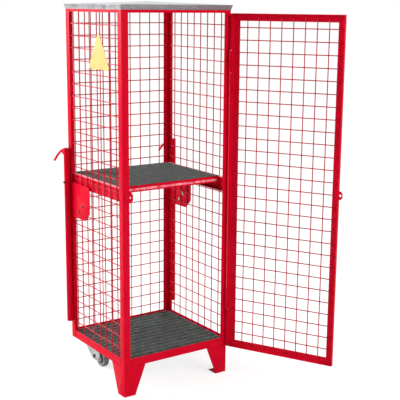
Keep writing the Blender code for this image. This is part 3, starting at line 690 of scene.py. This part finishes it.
def make_mitred(node, run, heel):
    """Door side: angle section with its ends cut at 45 degrees; heel -1 is the low side."""
    low, high = leaf_box(node)
    depth = high.y - low.y
    if run == "z":
        length, leg = high.z - low.z, high.x - low.x
    else:
        length, leg = high.x - low.x, high.z - low.z
    rings = []
    for far in (False, True):
        ring = []
        for inset, deep in rounded(angle_corners(leg, depth)):
            along = length - inset if far else inset
            if run == "z":
                x = low.x + inset if heel < 0 else high.x - inset
                ring.append(Vector((x, low.y + deep, low.z + along)))
            else:
                z = low.z + inset if heel < 0 else high.z - inset
                ring.append(Vector((low.x + along, low.y + deep, z)))
        rings.append(ring)
    bm = bmesh.new()
    loft(bm, rings)
    piece(node + "_iron", bm, PAINT, "door", [node], matrix=leaf, sharp=50)


make_mitred("door_free_stile", "z", -1)
make_mitred("door_hinge_stile", "z", 1)
make_mitred("door_bottom_rail", "x", -1)
make_mitred("door_top_rail", "x", 1)


# Handles

def make_handle(side):
    """Upright tube, its cap, and the bent rod at its top."""
    low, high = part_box(side + "_handle_tube")
    centre = (low + high) / 2
    radius = (high.y - low.y) / 2
    height = high.z - low.z
    chamfer, wall = 0.0006, 0.002
    bm = bmesh.new()
    turned(bm, (centre.x, centre.y, low.z), (0, 0, 1),
           [(0.0, radius - chamfer), (chamfer, radius), (height - chamfer, radius),
            (height, radius - chamfer), (height, radius - wall), (0.0, radius - wall)],
           40, closed=True)
    piece(side + "_handle_pipe", bm, PAINT, "cage", [side + "_handle_tube"])

    bm = bmesh.new()
    turned(bm, (centre.x, centre.y, high.z), (0, 0, 1),
           [(-0.010, radius - 0.0024), (-0.0012, radius - 0.0024),
            (-0.0010, radius - 0.0008), (0.0, radius - 0.0012)], 32)
    piece(side + "_handle_cap", bm, CAP, "cage")

    low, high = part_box(side + "_handle_grip")
    steps, straight, drop = 24, 0.125, 0.060
    rod, tip = 0.005, 0.0042
    reach = high.y - low.y - 0.0037
    start = Vector((centre.x, low.y, high.z - rod))
    points = []
    for i in range(steps + 1):
        share = i / steps
        bend = max(0.0, share - straight) / (1 - straight)
        points.append(start + Vector((0, reach * share, -drop * bend ** 1.5)))
    bm = bmesh.new()
    sweep(bm, points, [rod] * steps + [tip], 20)
    piece(side + "_handle_rod", bm, PAINT, "cage", [side + "_handle_grip"])


for side in ("left", "right"):
    make_handle(side)


# Castors

def add_spokes(bm, centre):
    """Ribs on each face of the wheel's web, from the boss to the rim."""
    count, half = 8, 0.0011
    root, crest = 0.0038, 0.0072
    inner, outer = 0.0100, 0.0240
    for k in range(count):
        turn = Matrix.Rotation(2 * math.pi * k / count, 4, "X")
        for way in (-1, 1):
            spoke = bmesh.new()
            block(spoke, (way * root, -half, inner), (way * crest, half, outer))
            bmesh.ops.transform(spoke, matrix=Matrix.Translation(centre) @ turn,
                                verts=spoke.verts)
            made = bpy.data.meshes.new("spoke")
            spoke.to_mesh(made)
            spoke.free()
            bm.from_mesh(made)
            bpy.data.meshes.remove(made)


def make_wheel(side):
    """Tyre, hub and axle bolt of one castor."""
    low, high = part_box(side + "_castor_tyre")
    centre = (low + high) / 2
    half = (high.x - low.x) / 2
    radius = (high.z - low.z) / 2
    seat = radius - 0.0118
    crown, steps = 0.0045, 12
    tread = []
    for i in range(steps + 1):
        turn = math.pi * i / steps
        tread.append((-half * math.cos(turn), radius - crown * (1 - math.sin(turn) ** 0.45)))
    bm = bmesh.new()
    turned(bm, centre, (1, 0, 0), [(-half, seat), *tread, (half, seat)], 72, closed=True)
    piece(side + "_tyre_tread", bm, RUBBER, side + "_wheel",
          [side + "_castor_tyre"])

    low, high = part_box(side + "_castor_hub")
    hub = (high.x - low.x) / 2
    rim = half - 0.003
    bore, boss, web, dish, lip = 0.0054, 0.0110, 0.0040, 0.0220, 0.0250
    half_profile = [(hub, bore), (hub, boss - 0.0010), (hub - 0.001, boss),
                    (web + 0.0005, boss + 0.0002), (web, dish),
                    (rim - 0.001, lip), (rim, lip + 0.0012), (rim, seat)]
    profile = [(-along, out) for along, out in half_profile] + half_profile[::-1]
    bm = bmesh.new()
    turned(bm, centre, (1, 0, 0), profile, 60, closed=True)
    add_spokes(bm, centre)
    piece(side + "_wheel_centre", bm, HUB, side + "_wheel",
          [side + "_castor_hub"])

    low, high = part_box(side + "_castor_axle")
    shank = (high.x - low.x) / 2 - 0.006
    shank_radius = 0.005
    bm = bmesh.new()
    turned(bm, centre, (1, 0, 0), [(-shank, shank_radius), (shank, shank_radius)])
    for way, sizes in ((-1, AXLE_HEAD), (1, AXLE_NUT)):
        hex_bolt(bm, centre + Vector((way * shank, 0, 0)), (way, 0, 0), sizes)
    piece(side + "_axle_bolt", bm, BOLT, "cage", [side + "_castor_axle"])


for side in ("left", "right"):
    make_wheel(side)


# Weld beads

def weld_rails(bm):
    """Where the base and top rails meet the posts."""
    low, high = cage_low, cage_high
    inset = 0.003
    spots = [(x, y) for x in (low.x + LEG, high.x - LEG) for y in (low.y, high.y)]
    spots += [(x, y) for y in (low.y + LEG, high.y - LEG) for x in (low.x, high.x)]
    for node in ("front_base_rail", "front_top_rail"):
        rail_low, rail_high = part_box(node)
        for x, y in spots:
            upright_bead(bm, x, y, rail_low.z + inset, rail_high.z - inset, RAIL_BEAD)


def weld_feet(bm):
    """Stitches along the top of each foot, both ways from its corner."""
    stitches = ((0.004, 0.030), (0.045, 0.065), (0.078, 0.098))
    y = cage_low.y
    for side, x, way in (("left", cage_low.x, 1), ("right", cage_high.x, -1)):
        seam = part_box("front_" + side + "_foot")[1].z
        for start, end in stitches:
            bead(bm, (x + way * start, y, seam), (x + way * end, y, seam), SEAM_BEAD)
            bead(bm, (x, y + start, seam), (x, y + end, seam), SEAM_BEAD)


def weld_side(bm, side, face, out):
    """Side plate, shelf runner and handle tube on one side of the cage."""
    plate_starts, plate_stitch = (0.006, 0.058, 0.112), 0.028
    tube_heights, tube_stitch = (0.215, 0.475, 0.735, 0.935), 0.030
    beside, proud, inset = 0.0062, 0.0014, 0.004
    inside = face - out * WALL
    plate_low, plate_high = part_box(side + "_side_plate")
    for x in (face, inside):
        for start in plate_starts:
            z = plate_low.z + start
            upright_bead(bm, x, plate_high.y, z, z + plate_stitch, PLATE_BEAD)
    low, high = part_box(side + "_shelf_runner")
    for y in (low.y, high.y):
        upright_bead(bm, inside, y, low.z + inset, high.z - inset, RAIL_BEAD)
    low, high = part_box(side + "_handle_tube")
    middle = (low.y + high.y) / 2
    for z in tube_heights:
        for y in (middle - beside, middle + beside):
            upright_bead(bm, face + out * proud, y, z, z + tube_stitch, TUBE_BEAD)


def make_cage_welds():
    """Every bead on the cage: rails, feet, sides, padlock tab and hinge barrels."""
    inset, proud = 0.004, 0.0006
    bm = bmesh.new()
    weld_rails(bm)
    weld_feet(bm)
    weld_side(bm, "left", cage_low.x, -1)
    weld_side(bm, "right", cage_high.x, 1)
    low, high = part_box("lock_tab")
    upright_bead(bm, cage_low.x + LEG, low.y, low.z + inset, high.z - inset, TAB_BEAD)
    for label in ("lower", "upper"):
        low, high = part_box(label + "_hinge_post_barrel")
        for x in (cage_high.x - 0.0115, cage_high.x - 0.0055):
            upright_bead(bm, x, cage_low.y - proud, low.z + inset, high.z - inset, SEAM_BEAD)
    piece("cage_welds", bm, PAINT, "cage")


def make_door_welds():
    """One bead along each mitre of the door's frame."""
    bm = bmesh.new()
    low, high = leaf_box("door_free_stile")
    far_low, far_high = leaf_box("door_hinge_stile")
    left, right = min(low.x, far_low.x), max(high.x, far_high.x)
    skin = low.y + WALL
    outer, inner = 0.004, 0.029
    for x, across in ((left, 1), (right, -1)):
        for z, up in ((low.z, 1), (high.z, -1)):
            start = (x + across * outer, skin, z + up * outer)
            end = (x + across * inner, skin, z + up * inner)
            bead(bm, start, end, MITRE_BEAD)
    piece("door_welds", bm, PAINT, "door", matrix=leaf)


make_cage_welds()
make_door_welds()


# Bolts, hinge rod and lips, bands of painted highlight, plate on the mesh

def make_fixings():
    """Dark bolts outside the plates, tubes and forks, and bright nuts inside the plates."""
    plate_spots = ((0.110, 0.740), (0.140, 0.711))  # y from the cage's middle, z
    tube_z, fork_z = 0.830, 0.040
    sunk, behind_axle = 0.0006, 0.037
    dark = bmesh.new()
    bright = bmesh.new()
    for side, face, out in (("left", cage_low.x, -1), ("right", cage_high.x, 1)):
        for y, z in plate_spots:
            y += MIDDLE.y
            hex_bolt(dark, (face, y, z), (out, 0, 0), PLATE_BOLT)
            hex_bolt(bright, (face - out * WALL, y, z), (-out, 0, 0), PLATE_NUT)
        low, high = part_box(side + "_handle_tube")
        outer = low.x if side == "left" else high.x
        spot = (outer - out * sunk, ((low + high) / 2).y, tube_z)
        hex_bolt(dark, spot, (out, 0, 0), TUBE_BOLT)
        low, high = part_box(side + "_castor_fork")
        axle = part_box(side + "_castor_axle")
        y = (axle[0].y + axle[1].y) / 2 + behind_axle
        hex_bolt(dark, (low.x, y, fork_z), (-1, 0, 0), FORK_BOLT)
        hex_bolt(dark, (high.x, y, fork_z), (1, 0, 0), FORK_BOLT)
    piece("plate_bolts", dark, DARK_BOLT, "cage")
    piece("plate_nuts", bright, BOLT, "cage")


def make_hinge_parts():
    """Slim rod between the hinges, and lips on the hinge stile beside, under and over them."""
    rod = 0.0037
    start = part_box("lower_hinge_door_barrel")[1].z
    end = min(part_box("upper_hinge_post_barrel")[0].z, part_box("upper_hinge_door_barrel")[0].z)
    bm = bmesh.new()
    sweep(bm, [(HINGE.x, HINGE.y, start), (HINGE.x, HINGE.y, end)], rod, 24)
    # The rod's brightened coat is a painted highlight.
    piece("hinge_rod", bm, HINGE_ROD_HIGHLIGHT_PAINT, "cage")

    low, high = leaf_box("door_hinge_stile")
    near = low.x if abs(low.x) < abs(high.x) else high.x
    way = -1 if near > 0 else 1
    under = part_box("lower_hinge_post_barrel")[0].z - BARREL_GAP
    over = max(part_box("upper_hinge_door_barrel")[1].z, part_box("upper_hinge_post_barrel")[1].z)
    full, beside_rod = 0.0072, abs(near) - 0.0042
    inset, thick, corner = 0.0004, 0.0025, 0.0008
    spans = ((low.z + inset, under, full),
             (start + BARREL_GAP, end - BARREL_GAP, beside_rod),
             (over + BARREL_GAP, high.z - inset, full))
    inner = high.y - thick
    bm = bmesh.new()
    for bottom, top, reach in spans:
        outline = rounded([(near + way * reach, inner, corner), (near, inner, 0),
                           (near, high.y, 0), (near + way * reach, high.y, corner)], 3)
        prism(bm, outline, "z", bottom, top)
    piece("hinge_stile_lips", bm, PAINT, "door", matrix=leaf, sharp=50)


def make_shelf_highlight_bands():
    """Raised bands in a pale coat along the shelf's front rail and on its runners' tops: a
    painted highlight, broken by gaps.
    """
    count, margin = 8, 0.006
    bm = bmesh.new()
    low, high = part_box("shelf_front_member")
    proud, sunk, gap = 0.0014, 0.0006, 0.0045
    bottom, top = low.z + 0.0068, low.z + 0.0155
    step = (high.x - low.x - 2 * margin) / count
    for i in range(count):
        x = low.x + margin + i * step
        block(bm, (x, low.y - proud, bottom), (x + step - gap, low.y + sunk, top))
    gap = 0.0065
    for side, way in (("left", 1), ("right", -1)):
        low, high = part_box(side + "_shelf_runner")
        face = low.x if side == "left" else high.x
        near, far = sorted((face + way * 0.0002, face + way * 0.0056))
        bottom, top = high.z - 0.0010, high.z + 0.0052
        step = (high.y - low.y - 2 * margin) / count
        for i in range(count):
            y = low.y + margin + i * step
            block(bm, (near, y, bottom), (far, y + step - gap, top))
    piece("shelf_highlight_bands", bm, HIGHLIGHT_COAT, "cage", bevel=0.0006)


def make_mesh_plate():
    """Bare triangular plate riveted to the wires of the left side."""
    corners = ((-0.045, 1.478), (-0.135, 1.326), (0.041, 1.326))  # y from the middle, z
    rivets = ((-0.045, 1.462), (-0.122, 1.335), (0.028, 1.335))
    head = [(0.0, 0.0030), (0.0006, 0.0030), (0.0012, 0.0022), (0.0014, 0.0008)]
    radius, thick, gap = 0.009, 0.0016, 0.0001
    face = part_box("left_mesh")[0].x
    bm = bmesh.new()
    outline = rounded([(MIDDLE.y + y, z, radius) for y, z in corners], 6)
    prism(bm, outline, "x", face - thick, face - gap)
    piece("mesh_plate", bm, YELLOW, "cage", bevel=0.0003)
    bm = bmesh.new()
    for y, z in rivets:
        turned(bm, (face - thick, MIDDLE.y + y, z), (-1, 0, 0), head, 20)
    piece("mesh_plate_rivets", bm, BOLT, "cage")


make_fixings()
make_hinge_parts()
make_shelf_highlight_bands()
make_mesh_plate()


# Floor, light and camera

WHITE = (1, 1, 1)


def make_floor():
    """Pale floor that looks white to the camera and still shows the part's shadow."""
    half = 30
    corners = [(-half, -half), (half, -half), (half, half), (-half, half)]
    bm = bmesh.new()
    bm.faces.new([bm.verts.new((x, y, 0)) for x, y in corners])
    mesh = bpy.data.meshes.new("studio_floor")
    bm.to_mesh(mesh)
    bm.free()
    floor = bpy.data.objects.new("studio_floor", mesh)
    bpy.context.scene.collection.objects.link(floor)
    material, tree, shader = shader_tree("pale_floor")
    shader.inputs["Roughness"].default_value = 0.9
    shader.inputs["Specular IOR Level"].default_value = 0.0
    shader.inputs["Emission Color"].default_value = rgba(WHITE)
    seen = add(tree, "ShaderNodeLightPath").outputs["Is Camera Ray"]
    pale = mix(tree, seen, (0.80, 0.80, 0.80), (0.35, 0.35, 0.35))
    tree.links.new(pale, shader.inputs["Base Color"])
    spot = add(tree, "ShaderNodeTexCoord").outputs["Object"]
    away = add(tree, "ShaderNodeVectorMath", {0: spot}, operation="LENGTH").outputs["Value"]
    glow = ramp(tree, away, 1.5, 7.0, 0.77, 0.89)
    tree.links.new(times(tree, seen, glow), shader.inputs["Emission Strength"])
    mesh.materials.append(material)


def make_world():
    """White to the camera, a dimmer fill, and in gloss darker towards the front."""
    world = bpy.data.worlds.new("studio")
    bpy.context.scene.world = world
    world.use_nodes = True
    tree = world.node_tree
    tree.nodes.clear()

    def background(strength):
        inputs = {"Color": rgba(WHITE), "Strength": strength}
        return add(tree, "ShaderNodeBackground", inputs).outputs[0]

    def either(factor, plain, other):
        return add(tree, "ShaderNodeMixShader", {0: factor, 1: plain, 2: other}).outputs[0]

    path = add(tree, "ShaderNodeLightPath")
    way = add(tree, "ShaderNodeTexCoord").outputs["Generated"]
    toward = add(tree, "ShaderNodeVectorMath", {0: way, 1: (0.20, 0.95, 0.25)},
                 operation="DOT_PRODUCT").outputs["Value"]
    glossy = ramp(tree, toward, -0.75, 0.15, 0.12, 1.0)
    rays = {0: path.outputs["Is Camera Ray"], 1: path.outputs["Is Transmission Ray"]}
    direct = add(tree, "ShaderNodeMath", rays, operation="MAXIMUM").outputs[0]
    unseen = either(path.outputs["Is Glossy Ray"], background(0.42), background(glossy))
    surface = either(direct, unseen, background(1.0))
    add(tree, "ShaderNodeOutputWorld", {"Surface": surface})


def area_light(name, spot, aim, size, watts, visible_in_gloss=True):
    lamp = bpy.data.lights.new(name, "AREA")
    lamp.shape = "RECTANGLE"
    lamp.size, lamp.size_y = size
    lamp.energy = watts
    light = bpy.data.objects.new(name, lamp)
    light.location = spot
    light.rotation_mode = "QUATERNION"
    light.rotation_quaternion = (Vector(aim) - Vector(spot)).to_track_quat("-Z", "Y")
    light.visible_glossy = visible_in_gloss
    bpy.context.scene.collection.objects.link(light)


def make_camera():
    """The photograph's camera, found from the mesh's crossings."""
    yaw, pitch, roll = 0.60738, 0.20920, -0.00900
    spot = (-1.79584, -3.10170, 1.58365)
    forward = Vector((math.sin(yaw) * math.cos(pitch), math.cos(yaw) * math.cos(pitch),
                      -math.sin(pitch)))
    level = Vector((math.cos(yaw), -math.sin(yaw), 0))
    down = forward.cross(level)
    right = level * math.cos(roll) + down * math.sin(roll)
    down = down * math.cos(roll) - level * math.sin(roll)
    data = bpy.data.cameras.new("camera")
    data.sensor_width = 36.0
    data.lens = 83.02
    camera = bpy.data.objects.new("camera", data)
    turn = Matrix((right, -down, -forward)).transposed().to_4x4()
    camera.matrix_world = Matrix.Translation(spot) @ turn
    bpy.context.scene.collection.objects.link(camera)
    bpy.context.scene.camera = camera


make_floor()
make_world()
area_light("left_softbox", (-2.6, 3.0, 2.4), (0.2, 0.2, 0.8), (2.6, 2.6), 240)
area_light("front_fill", (1.6, -3.9, 2.2), (0.2, 0.2, 0.7), (2.6, 2.2), 105, False)
area_light("top_softbox", (0.3, 0.3, 4.2), (0.2, 0.2, 0.0), (3.0, 3.0), 40)
make_camera()
bpy.context.scene.view_settings.view_transform = "Standard"
